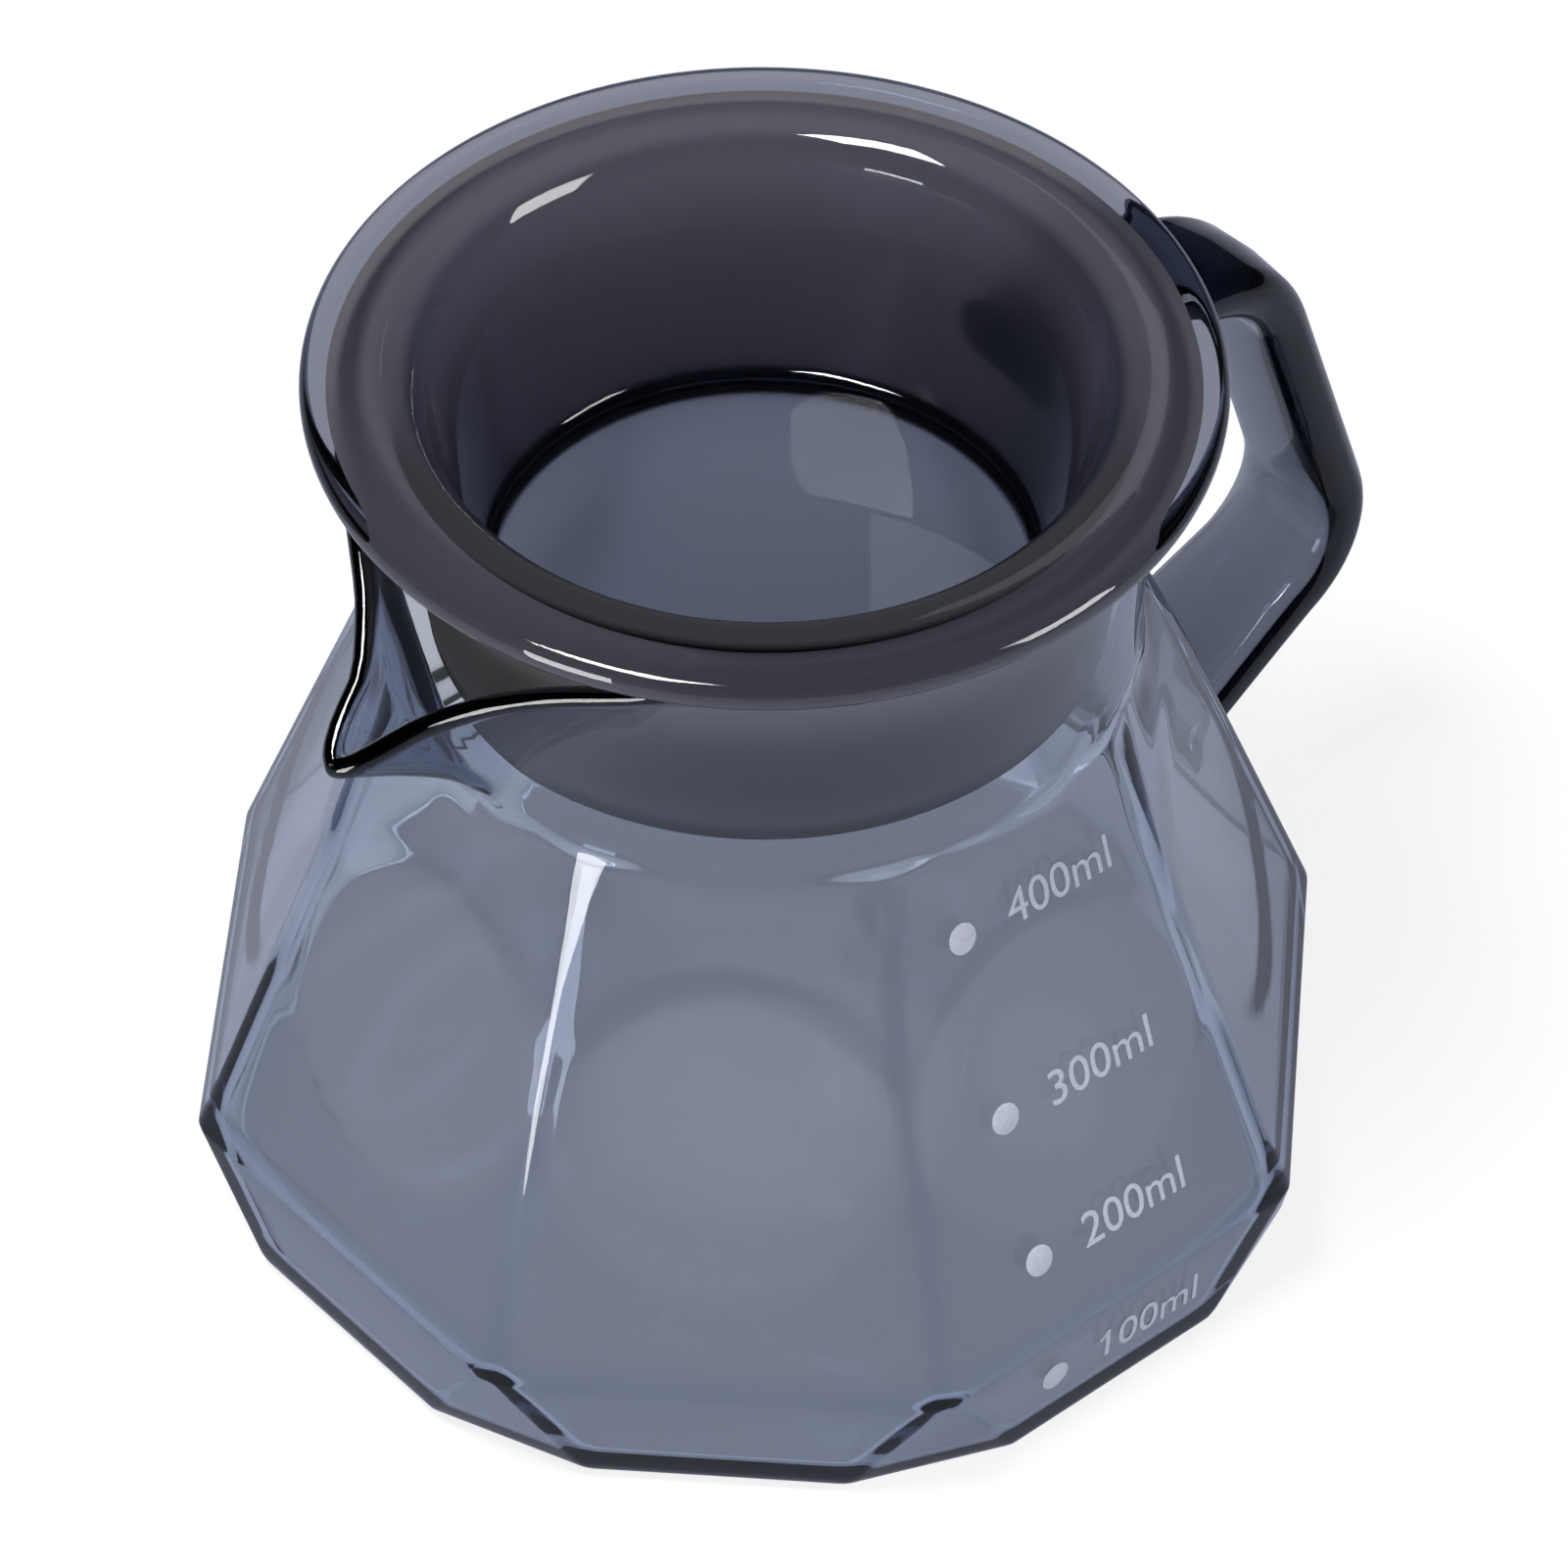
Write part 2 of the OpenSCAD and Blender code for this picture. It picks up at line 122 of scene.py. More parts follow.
# Lid: the ground stopper. The matt skin lies outside the middle of the cup's wall, which
# leans out by the slope, and within the margins of the flange
GROUND_MIDDLE, GROUND_SLOPE = 30.6, 0.19
FLANGE_MARGIN, BEAD_MARGIN, SOLE_MARGIN = 0.4, 2.6, 1
MATT_ROUGHNESS, SOLE_ROUGHNESS = 0.95, 0.3
# Where its painted shade and painted glow come in, from nothing to full: above the plug's bottom,
# from the flange's underside, from the flange's top and outside the cup's mouth
FOOT_SHADE_RISE, GLOW_FOOT, GLOW_RISE = (0.6, 2.4), (2.0, 4.5), (-15, -2)
LIP_GLOW_RISE, LIP_GLOW_REACH = (-1.3, -0.3), (6.0, 4.4)
# The share of the painted glow that stays lower down the stopper's side
GLOW_BELOW = 0.18
# Painted shade: the ground skin's warm tint darkens the stopper where it sits inside the neck, and
# the near-black tint draws a dark band at the plug's foot
GROUND_PAINTED_SHADE = (0.56, 0.45, 0.37, 1)
PLUG_FOOT_PAINTED_SHADE = (0.06, 0.06, 0.06, 1)
# Painted glow: emission colours of the ground skin and of the lip, standing in for light scattered
# in the ground glass
GROUND_PAINTED_GLOW = (0.131, 0.127, 0.132, 1)
LIP_PAINTED_GLOW = (0.036, 0.036, 0.042, 1)
WHITE, BLACK = (1, 1, 1, 1), (0, 0, 0, 1)

# Marks
MARKS = {"400ml": 58.0, "300ml": 38.4, "200ml": 22.7, "100ml": 8.4}
DOT_OFFSET, DOT_WIDTH, DOT_BEVEL, DOT_CREASE = -8.2, 3.3, 0.04, 40
LABEL_START, LABEL_WIDTH, LABEL_HEIGHT = -2.4, 13.0, 3.8
ENAMEL, ENAMEL_GAP = 0.12, 0.02
# Flag of the figure 1, in the units of the built-in letters
LETTER_DEPTH = 0.01
FLAG_SIZE, FLAG_TURN, FLAG_BACK, FLAG_HEIGHT = (0.26, 0.075, 0.0196), -40, 0.03, 0.565

# Glass: colour of the smoke, its density and the depth of the surface's wave
VESSEL_GLASS = ((0.11, 0.21, 0.43, 1), 292, 0.00002)
LID_GLASS = ((0.08, 0.12, 0.29, 1), 370, 0.000015)
HANDLE_GLASS = ((0.06, 0.11, 0.27, 1), 350, 0.00002)
GLASS_IOR, GLASS_ROUGHNESS = 1.5, (0.0, 0.02)
GLASS_WAVE, GLASS_FILM = 45.0, 180.0
ENAMEL_WAVE, ENAMEL_FILM, ENAMEL_BUMP = 400.0, 1800.0, 0.00002
ENAMEL_DARK, ENAMEL_PALE = (0.40, 0.42, 0.51, 1), (0.49, 0.52, 0.61, 1)
ENAMEL_ROUGHNESS = (0.35, 0.55)
# The part of a noise's range that is spread over a material's range
NOISE_LOW, NOISE_HIGH = 0.3, 0.7

# Stage: the floor's own glow, its grey and its tint for each kind of ray
FLOOR_SIZE, FLOOR_DROP = 12, 0.0004
FLOOR_GREY = (0.6, 0.6, 0.6, 1)
FLOOR_RAYS = (("Is Glossy Ray", 0.3, 0.25, (0.78, 0.83, 1.03)),
              ("Is Transmission Ray", 0.45, 0.40, (1.06, 1.07, 1.06)),
              ("Is Camera Ray", 0.82, 0.20, (1, 1, 1)))
# Stage: the room's strength at the horizon and overhead, and the heights between which it fades
ROOM_LOW, ROOM_HIGH, ROOM_FADE = 0.7, 0.2, (0.1, 0.6)
# Stage: each lamp's place, aim, size and power, and the camera
LAMPS = (("softbox_top", (-0.36, 0.03, 1.0), (0, 0, 0.08), (0.40, 0.24), 10),
         ("softbox_side", (-0.30, -0.05, 0.06), (0, -0.02, 0.04), (0.10, 0.16), 0.6),
         ("softbox_back", (0.607, 0.623, 0.908), (0.017, -0.02, 0.085), (0.055, 0.035), 0.0035),
         ("softbox_front", (0.55, -0.95, 0.6), (0, 0, 0.05), (0.5, 0.5), 9))
CAMERA_PLACE, CAMERA_AIM = (-0.49694, -0.57297, 0.79683), (0.001705, -0.001488, 0.044086)
CAMERA_ROLL, CAMERA_LENS, CAMERA_SENSOR = 0.616, 246.97, 36.0
CAMERA_NEAR, CAMERA_FAR = 0.05, 30
LIGHT_BOUNCES = 32


def clear_selection():
    """Nothing is selected, so that an operator reaches only the new piece."""
    if bpy.context.object and bpy.context.object.mode != "OBJECT":
        bpy.ops.object.mode_set(mode="OBJECT")
    bpy.ops.object.select_all(action="DESELECT")


def named(name):
    """The primitive just added, under the piece's own name."""
    piece = bpy.context.object
    piece.name = piece.data.name = name
    return piece


def edit_all():
    """Edit mode, with the whole piece selected."""
    bpy.ops.object.mode_set(mode="EDIT")
    bpy.ops.mesh.select_all(action="SELECT")


def merge_and_turn():
    """Merges doubled points and turns the faces outwards."""
    edit_all()
    bpy.ops.mesh.remove_doubles(threshold=MERGE)
    bpy.ops.mesh.select_all(action="SELECT")
    bpy.ops.mesh.normals_make_consistent(inside=False)
    bpy.ops.object.mode_set(mode="OBJECT")


def close_skin():
    """Merges doubled points, turns the faces outwards and shades the piece smooth."""
    merge_and_turn()
    bpy.ops.object.shade_smooth()


def lower(a, b, reach):
    """The lower of two surfaces, with a soft edge where they meet."""
    h = np.maximum(reach - np.abs(a - b), 0) / reach
    return np.minimum(a, b) - h * h * reach / 4


def higher(a, b, reach):
    """The higher of two surfaces, with a soft valley where they meet."""
    return -lower(-a, -b, reach)


def along(xs, ys, x):
    """A smooth line through points, with no overshoot, flat at both ends."""
    xs, ys = np.array(xs, float), np.array(ys, float)
    rise = np.diff(ys) / np.diff(xs)
    tangent = np.zeros_like(ys)
    same = rise[:-1] * rise[1:] > 0
    tangent[1:-1][same] = 2 * (rise[:-1] * rise[1:])[same] / (rise[:-1] + rise[1:])[same]
    x = np.clip(x, xs[0], xs[-1])
    i = np.clip(np.searchsorted(xs, x, side="right") - 1, 0, len(xs) - 2)
    width = xs[i + 1] - xs[i]
    t = (x - xs[i]) / width
    return ((2 * t**3 - 3 * t**2 + 1) * ys[i] + (t**3 - 2 * t**2 + t) * width * tangent[i]
            + (3 * t**2 - 2 * t**3) * ys[i + 1] + (t**3 - t**2) * width * tangent[i + 1])


def cos(degrees):
    return np.cos(np.radians(degrees))


def sin(degrees):
    return np.sin(np.radians(degrees))


def from_facet(angle):
    """Degrees from the middle of the nearest flat facet, 0 to 22.5."""
    return np.abs((angle + HALF_FACET) % (2 * HALF_FACET) - HALF_FACET)


def flat_reach(z, soft):
    """Distance of the flat facets from the axis at a height."""
    upper = BELT_FLAT - FACET_LEAN * (z - BELT_HEIGHT)
    under = FOOT_FLAT + (BELT_FLAT - FOOT_FLAT) * z / BELT_HEIGHT
    return lower(upper, under, soft)


def corner_reach(z):
    """Distance of the small corner facets from the axis at a height."""
    return FOOT_CORNER + (BELT_CORNER - FOOT_CORNER) * z / BELT_HEIGHT


def octagon(reach, angle, soft):
    """Radius of an eight-sided outline, with soft corners."""
    off = from_facet(angle)
    return lower(reach / cos(off), reach / cos(2 * HALF_FACET - off), soft)


def neck_reach(z):
    """Radius of the round neck: a hollow shoulder below the waist and a flare above it."""
    drop = np.clip(WAIST_HEIGHT - z, 0, SHOULDER_DROP)
    shoulder = NECK_RADIUS + SHOULDER_RADIUS - np.sqrt(SHOULDER_RADIUS**2 - drop**2)
    sunk = np.maximum(WAIST_HEIGHT - SHOULDER_DROP - z, 0) * SHOULDER_SINK
    rise = np.maximum(z - WAIST_HEIGHT, 0)
    flare = FLARE_RADIUS - np.sqrt(FLARE_RADIUS**2 - rise**2)
    return shoulder - sunk + flare


def outer_radius(angle, z):
    """The outside of the body without the spout."""
    fading = np.clip((z - FADE_START) / FADE_LENGTH, 0, 1)
    soft = FACET_SOFT + FADE_SOFT * fading * fading
    facets = octagon(flat_reach(z, EDGE_SOFT), angle, soft)
    corners = corner_reach(z) / cos(HALF_FACET - from_facet(angle))
    return higher(lower(facets, corners, EDGE_SOFT), neck_reach(z), NECK_SOFT)


def inner_radius(angle, z):
    """The inside of the body, a little rounder than the outside, with the thin spots."""
    reach = flat_reach(z, INNER_SOFT) - WALL
    corners = corner_reach(z) / cos(HALF_FACET - from_facet(angle)) - WALL - CORNER_EXTRA
    edged = lower(octagon(reach, angle, INNER_SOFT), corners, INNER_CORNER_SOFT)
    off = np.hypot(reach * np.radians(from_facet(angle)),
                   (z - SPOT_HEIGHT) / math.cos(math.atan(FACET_LEAN)))
    spot = np.clip((SPOT_RADIUS + SPOT_EDGE / 2 - off) / SPOT_EDGE, 0, 1)
    return (edged + (reach - edged) * INNER_ROUNDING
            + SPOT_DEPTH * spot * spot * (3 - 2 * spot))


def column_angles(z):
    """Where the columns of the skin stand at a height, bunched along the edges of the facets."""
    flat = float(flat_reach(z, EDGE_SOFT))
    edge = math.degrees(math.atan((corner_reach(z) / flat - cos(HALF_FACET)) / sin(HALF_FACET)))
    half = min(max(HALF_FACET - edge, CORNER_LEAST), CORNER_MOST)
    side = [-half - 2 * EDGE_STEP, -half - EDGE_STEP, -half,
            -half + min(EDGE_STEP, half / 3), -half + min(2 * EDGE_STEP, half * 2 / 3)]
    corner = np.array(side + [0] + [-a for a in side[::-1]])
    angles = []
    for facet in range(FACETS):
        middle = facet * 2 * HALF_FACET
        shares = SPOUT_SHARES if facet == FACETS // 2 else FACET_SHARES
        angles += [middle + shares * (HALF_FACET - half - 3 * EDGE_STEP),
                   middle + HALF_FACET + corner]
    return np.concatenate(angles)


def ring(angles, radius, z):
    """One ring of points."""
    radius, z = np.broadcast_to(radius, angles.shape), np.broadcast_to(z, angles.shape)
    return np.stack([radius * cos(angles), radius * sin(angles), z], axis=1)


def neck_walls():
    """The neck outside and inside and its melted lip, which dips at the spout."""
    angles = column_angles(NECK_START)
    turn = np.abs(angles % 360 - 180)
    crest = along(LIP_TURN, LIP_HEIGHT, turn)
    bulge = along(LIP_TURN, LIP_BULGE, turn)
    sweep = SPOUT_SWEEP + SWEEP_GAIN * np.clip(turn / SWEEP_TURN, 0, 1)
    top = crest - LIP_HALF
    # Each pass brings the lip's crest nearer to its height
    for _ in range(LIP_PASSES):
        neck = []
        for share in NECK_SHARES:
            z = NECK_START + share * (top - NECK_START)
            neck.append(ring(angles, outer_radius(angles, z) + bulge * share**sweep, z))
        neck = np.array(neck)
        # The inner wall stands a wall's thickness inside the outer one
        upwards = np.gradient(neck, axis=0)
        around = np.roll(neck, -1, axis=1) - np.roll(neck, 1, axis=1)
        outwards = np.cross(around, upwards)
        outwards /= np.linalg.norm(outwards, axis=2)[:, :, None]
        inside = neck - outwards * (WALL + (2 * LIP_HALF - WALL) * NECK_SHARES)[:, None, None]
        middle, half = (neck[-1] + inside[-1]) / 2, (neck[-1] - inside[-1]) / 2
        rise = neck[-1] - neck[-2]
        tip = rise * (np.linalg.norm(half, axis=1) / np.linalg.norm(rise, axis=1))[:, None]
        lip = np.array([middle + half * cos(a) + tip * sin(a) for a in LIP_ARC])
        top = top + crest - lip[:, :, 2].max(axis=0)
    return neck, inside, lip


def vessel_rings():
    """All rings of the skin, from the middle of the underside to the middle of the floor."""
    foot = column_angles(0.0)
    rings = [ring(foot, 0, PUSH_UP_DEPTH)]
    for r in PUSH_UP_RINGS:
        rings.append(ring(foot, r, PUSH_UP_DEPTH * max(1 - (r / PUSH_UP_RADIUS) ** 4, 0)))
    start, edge = PUSH_UP_RINGS[-1], outer_radius(foot, 0.0) - FOOT_ROUND
    for share in SOLE_SHARES:
        rings.append(ring(foot, start + (edge - start) * share, 0))
    for a in FOOT_ARC:
        z = FOOT_ROUND * (1 - sin(a))
        angles = column_angles(z)
        rings.append(ring(angles, outer_radius(angles, z) - FOOT_ROUND * (1 - cos(a)), z))
    for z in BODY_HEIGHTS:
        angles = column_angles(z)
        rings.append(ring(angles, outer_radius(angles, z), z))
    neck, inside, lip = neck_walls()
    rings += [*neck, *lip, *inside[::-1]]
    # The inside of the body, which runs over into the neck, then the heel and the floor
    for z in BODY_HEIGHTS[::-1]:
        if z < BASE_THICKNESS + HEEL_ROUND + HEEL_GAP:
            break
        angles = column_angles(z)
        wall = inner_radius(angles, z)
        if z > NECK_RUN_IN:
            share = (z - NECK_RUN_IN) / (NECK_START - NECK_RUN_IN)
            neck_radius = np.linalg.norm(inside[0][:, :2], axis=1)
            wall = wall + (neck_radius - inner_radius(angles, NECK_START)) * share**2
        rings.append(ring(angles, wall, z))
    for a in HEEL_ARC:
        z = BASE_THICKNESS + HEEL_ROUND * (1 - cos(a))
        angles = column_angles(z)
        rings.append(ring(angles, inner_radius(angles, z) - HEEL_ROUND * (1 - sin(a)), z))
    edge = inner_radius(foot, BASE_THICKNESS) - HEEL_ROUND
    for share in FLOOR_SHARES:
        rings.append(ring(foot, edge * share, BASE_THICKNESS))
    rings.append(ring(foot, 0, BASE_THICKNESS))
    return np.array(rings)


def make_vessel():
    """A circle is extruded ring by ring, then each ring is drawn out to its place.

    The end rings close to a point when doubled points are merged.
    """
    points = vessel_rings()
    rings, columns = points.shape[:2]
    start_radius, ring_gap = 0.05, 0.001
    clear_selection()
    bpy.ops.mesh.primitive_circle_add(vertices=columns, radius=start_radius, fill_type="NOTHING")
    piece = named("glass_vessel")
    edit_all()
    for _ in range(rings - 1):
        bpy.ops.mesh.extrude_region_move(TRANSFORM_OT_translate={"value": (0, 0, ring_gap)})
    bpy.ops.object.mode_set(mode="OBJECT")
    co = np.zeros(len(piece.data.vertices) * 3)
    piece.data.vertices.foreach_get("co", co)
    co = co.reshape(-1, 3)
    row = np.rint(co[:, 2] / ring_gap).astype(int)
    turn = np.arctan2(co[:, 1], co[:, 0]) / (2 * math.pi / columns)
    column = np.rint(turn).astype(int) % columns
    piece.data.vertices.foreach_set("co", (points[row, column] * MM).ravel())
    piece.data.update()
    close_skin()
    return piece


def arc(centre, radius, start, end, steps):
    """Points of an arc in a turned outline."""
    turns = [math.radians(start + (end - start) * i / steps) for i in range(steps + 1)]
    return [(centre[0] + radius * math.cos(turn), centre[1] + radius * math.sin(turn))
            for turn in turns]


def lid_outline():
    """Half section of the lid, from its underside's middle to the middle of the cup's floor."""
    half = (FLANGE_TOP - FLANGE_UNDER) / 2
    widening = PLUG_TOP_RADIUS - PLUG_FOOT_RADIUS
    cup_in, cup_down = CUP_FLOOR_RADIUS - CUP_MOUTH_RADIUS, CUP_FLOOR - FLANGE_TOP
    slope = math.degrees(math.atan2(-cup_down, -cup_in))
    line = [(r, PLUG_BOTTOM + PLUG_HOLLOW + rise) for r, rise in HOLLOW_POINTS]
    line += [(r, PLUG_BOTTOM + rise) for r, rise in FOOT_RING_POINTS]
    line += arc((PLUG_FOOT_RADIUS - PLUG_ROUND, PLUG_BOTTOM + PLUG_ROUND), PLUG_ROUND, -90, 0, 8)
    line += [(PLUG_FOOT_RADIUS + widening * s, PLUG_BOTTOM + PLUG_ROUND + PLUG_SIDE * s)
             for s in PLUG_SHARES]
    line += arc((PLUG_TOP_RADIUS + FLANGE_FILLET, FLANGE_UNDER - FLANGE_FILLET),
                FLANGE_FILLET, 180, 90, 10)
    line += [(r, FLANGE_UNDER) for r in SEAT_RADII]
    line += arc((FLANGE_RADIUS - half, FLANGE_UNDER + half), half, -90, 90, 14)
    line += [(r, FLANGE_TOP) for r in FLANGE_TOP_RADII]
    line += arc((CUP_MOUTH_RADIUS + CUP_LIP_SETBACK * CUP_LIP_ROUND, FLANGE_TOP - CUP_LIP_ROUND),
                CUP_LIP_ROUND, 90, 90 + slope, 18)
    line += [(CUP_MOUTH_RADIUS + cup_in * s, FLANGE_TOP + cup_down * s) for s in CUP_SHARES]
    line += arc((CUP_FLOOR_RADIUS - CUP_HEEL_ROUND, CUP_FLOOR + CUP_HEEL_ROUND),
                CUP_HEEL_ROUND, slope - 90, -90, 8)
    line += [(r, CUP_FLOOR) for r in CUP_FLOOR_RADII]
    return line


def make_lid():
    """One point is extruded along the half section, and the line is spun about the axis."""
    line = lid_outline()
    clear_selection()
    bpy.ops.mesh.primitive_plane_add(size=2 * MM)
    piece = named("glass_lid")
    edit_all()
    bpy.ops.mesh.merge(type="CENTER")
    bpy.ops.transform.translate(value=(line[0][0] * MM, 0, line[0][1] * MM))
    for a, b in zip(line, line[1:]):
        step = ((b[0] - a[0]) * MM, 0, (b[1] - a[1]) * MM)
        bpy.ops.mesh.extrude_region_move(TRANSFORM_OT_translate={"value": step})
    bpy.ops.mesh.select_all(action="SELECT")
    bpy.ops.mesh.spin(steps=LID_SPIN_STEPS, angle=2 * math.pi, center=(0, 0, 0), axis=(0, 0, 1))
    close_skin()
    return piece


def draw_out(direction, length):
    """Extrudes the strap's end in the plane of the handle."""
    step = (direction.x * length * MM, 0, direction.y * length * MM)
    bpy.ops.mesh.extrude_region_move(TRANSFORM_OT_translate={"value": step})


def swell(share, middle):
    """Makes the strap's end larger or smaller about its middle."""
    bpy.ops.transform.resize(value=(share, share, share),
                             center_override=(middle.x * MM, 0, middle.y * MM))


def draw_and_swell(place, direction, steps):
    """Draws the strap's end out in short lengths, each with its swelling."""
    for length, share in steps:
        draw_out(direction, length)
        place = place + direction * length
        swell(share, place)
    return place


def bend(start, direction, turn, radius):
    """Spins the strap's end round a bend."""
    centre = start + Vector((direction.y, -direction.x)) * radius
    bpy.ops.mesh.spin(steps=BEND_STEPS, angle=-turn, axis=(0, 1, 0),
                      center=(centre.x * MM, 0, centre.y * MM))


def widening_arm(start, end, share):
    """Draws out a straight arm that widens by a share."""
    for _ in range(ARM_STEPS):
        draw_out((end - start).normalized(), (end - start).length / ARM_STEPS)
        bpy.ops.transform.resize(value=(1, share ** (1 / ARM_STEPS), 1))


def strap_section(root):
    """The rounded section of the strap, upright at the root and facing along the upper arm."""
    clear_selection()
    bpy.ops.mesh.primitive_plane_add(size=1)
    piece = named("glass_handle")
    edit_all()
    bpy.ops.transform.resize(value=(STRAP_THICKNESS * MM, STRAP_WIDTH * MM, 1))
    bpy.ops.mesh.bevel(offset=STRAP_ROUND * MM, segments=7, affect="VERTICES")
    bpy.ops.mesh.select_all(action="SELECT")
    bpy.ops.mesh.subdivide(number_cuts=1)
    bpy.ops.object.mode_set(mode="OBJECT")
    # The outer side is crowned, the inner side stays flat
    for point in piece.data.vertices:
        out = max(-point.co.x / (STRAP_THICKNESS / 2 * MM), 0)
        point.co.x += out * STRAP_CROWN * MM * (point.co.y / (STRAP_WIDTH / 2 * MM)) ** 2
    place = Matrix.Translation((root.x * MM, 0, root.y * MM))
    piece.data.transform(place @ Matrix.Rotation(math.radians(90), 4, "Y"))
    return piece


def make_handle():
    """The strap is drawn out, bent by two spins and flared where it is fused to the vessel."""
    corner, elbow = Vector(HANDLE_CORNER), Vector(HANDLE_ELBOW)
    foot = Vector((BELT_FLAT - FACET_LEAN * (HANDLE_FOOT_HEIGHT - BELT_HEIGHT),
                   HANDLE_FOOT_HEIGHT))
    root = Vector((HANDLE_ROOT, corner.y))
    first = (corner - root).normalized()
    second = (elbow - corner).normalized()
    third = (foot - elbow).normalized()
    corner_turn, elbow_turn = first.angle(second), second.angle(third)
    corner_cut = CORNER_BEND * math.tan(corner_turn / 2)
    elbow_cut = ELBOW_BEND * math.tan(elbow_turn / 2)
    piece = strap_section(root)
    edit_all()
    # The fused end narrows to the strap over its first millimetres
    swell(ROOT_SWELL, root)
    place = draw_and_swell(root, first, ROOT_STEPS)
    start = corner - first * corner_cut
    draw_out(first, (start - place).length)
    bend(start, first, corner_turn, CORNER_BEND)
    # The strap widens towards its foot
    stop = elbow - second * elbow_cut
    widening_arm(corner + second * corner_cut, stop, STRAP_GRIP_WIDTH / STRAP_WIDTH)
    bend(stop, second, elbow_turn, ELBOW_BEND)
    stop = foot - third * FOOT_FLARE
    widening_arm(elbow + third * elbow_cut, stop, STRAP_FOOT_WIDTH / STRAP_GRIP_WIDTH)
    draw_and_swell(stop, third, FOOT_STEPS)
    close_skin()
    bpy.ops.object.shade_smooth_by_angle(angle=math.radians(CREASE))
    return piece


def on_facet(across, height):
    """Where a flat mark goes on the front facet: across, up the facet and out of it."""
    if height > BELT_HEIGHT:
        lean = math.atan(FACET_LEAN)
        flat = BELT_FLAT - FACET_LEAN * (height - BELT_HEIGHT)
    else:
        lean = -math.atan((BELT_FLAT - FOOT_FLAT) / BELT_HEIGHT)
        flat = FOOT_FLAT + (BELT_FLAT - FOOT_FLAT) * height / BELT_HEIGHT
    up = Vector((0, math.sin(lean), math.cos(lean)))
    out = Vector((0, -math.cos(lean), math.sin(lean)))
    at = Vector((across, -flat, height)) * MM + out * ENAMEL_GAP * MM
    return Matrix.Translation(at) @ Matrix((Vector((1, 0, 0)), up, out)).transposed().to_4x4()


def make_dot(reading, height):
    """A low disc with a rounded edge, laid on the facet."""
    clear_selection()
    bpy.ops.mesh.primitive_cylinder_add(vertices=64, radius=DOT_WIDTH / 2 * MM, depth=ENAMEL * MM)
    piece = named("enamel_dot_" + reading)
    edit_all()
    bpy.ops.mesh.bevel(offset=DOT_BEVEL * MM, segments=2, affect="EDGES")
    bpy.ops.object.mode_set(mode="OBJECT")
    lift = Matrix.Translation((0, 0, ENAMEL / 2 * MM))
    piece.data.transform(on_facet(DOT_OFFSET, height) @ lift)
    bpy.ops.object.shade_smooth_by_angle(angle=math.radians(DOT_CREASE))
    return piece


def add_flag(piece):
    """The built-in letters have a bare 1: a slanting bar gives it its flag."""
    left = min(point.co.x for point in piece.data.vertices)
    place = (left - FLAG_BACK, FLAG_HEIGHT, 0)
    bpy.ops.object.mode_set(mode="EDIT")
    bpy.ops.mesh.select_all(action="DESELECT")
    bpy.ops.mesh.primitive_cube_add(size=1, location=place)
    bpy.ops.transform.resize(value=FLAG_SIZE, center_override=place)
    bpy.ops.transform.rotate(value=math.radians(FLAG_TURN), orient_axis="Z", center_override=place)
    bpy.ops.object.mode_set(mode="OBJECT")


def make_label(reading, height):
    """The reading as printed figures, made a mesh, fitted to its place and laid on the facet."""
    clear_selection()
    bpy.ops.object.text_add()
    letters = bpy.context.object
    letters.data.body = reading
    letters.data.extrude = LETTER_DEPTH
    letters.data.resolution_u = 8
    bpy.ops.object.convert(target="MESH")
    piece = named("enamel_label_" + reading)
    if reading.startswith("1"):
        add_flag(piece)
    low, high = (Vector([pick(point.co[i] for point in piece.data.vertices) for i in range(3)])
                 for pick in (min, max))
    size = high - low
    fit = Matrix.Diagonal((LABEL_WIDTH / size.x * MM, LABEL_HEIGHT / size.y * MM,
                           ENAMEL / size.z * MM, 1))
    piece.data.transform(fit @ Matrix.Translation((-low.x, -(low.y + high.y) / 2, -low.z)))
    piece.data.transform(on_facet(LABEL_START, height))
    merge_and_turn()
    return piece


def surface_group():
    """Uneven melted glass and print: a slow wave for bump, a finer film for gloss and colour."""
    group = bpy.data.node_groups.new("melted_surface", "ShaderNodeTree")
    nodes, links = group.nodes, group.links
    for name in ("Wave", "Film"):
        group.interface.new_socket(name + " Size", in_out="INPUT", socket_type="NodeSocketFloat")
        group.interface.new_socket(name, in_out="OUTPUT", socket_type="NodeSocketFloat")
    given, put_out = nodes.new("NodeGroupInput"), nodes.new("NodeGroupOutput")
    place = nodes.new("ShaderNodeTexCoord")
    for name, detail, roughness in (("Wave", 1.0, 0.4), ("Film", 4.0, 0.6)):
        texture = nodes.new("ShaderNodeTexNoise")
        texture.inputs["Detail"].default_value = detail
        texture.inputs["Roughness"].default_value = roughness
        links.new(place.outputs["Object"], texture.inputs["Vector"])
        links.new(given.outputs[name + " Size"], texture.inputs["Scale"])
        links.new(texture.outputs["Fac"], put_out.inputs[name])
    return group


def node_material(name):
    """A new material with its nodes, links, shader and output."""
    material = bpy.data.materials.new(name)
    material.use_nodes = True
    nodes, links = material.node_tree.nodes, material.node_tree.links
    return material, nodes, links, nodes["Principled BSDF"], nodes["Material Output"]


def surface_node(nodes, group, wave_size, film_size):
    """The shared surface, with the sizes of one material."""
    surface = nodes.new("ShaderNodeGroup")
    surface.node_tree = group
    surface.inputs["Wave Size"].default_value = wave_size
    surface.inputs["Film Size"].default_value = film_size
    return surface


def spread(nodes, links, noise, low, high):
    """Spreads a noise over a range."""
    node = nodes.new("ShaderNodeMapRange")
    node.inputs["From Min"].default_value = NOISE_LOW
    node.inputs["From Max"].default_value = NOISE_HIGH
    node.inputs["To Min"].default_value = low
    node.inputs["To Max"].default_value = high
    links.new(noise, node.inputs["Value"])
    return node.outputs["Result"]


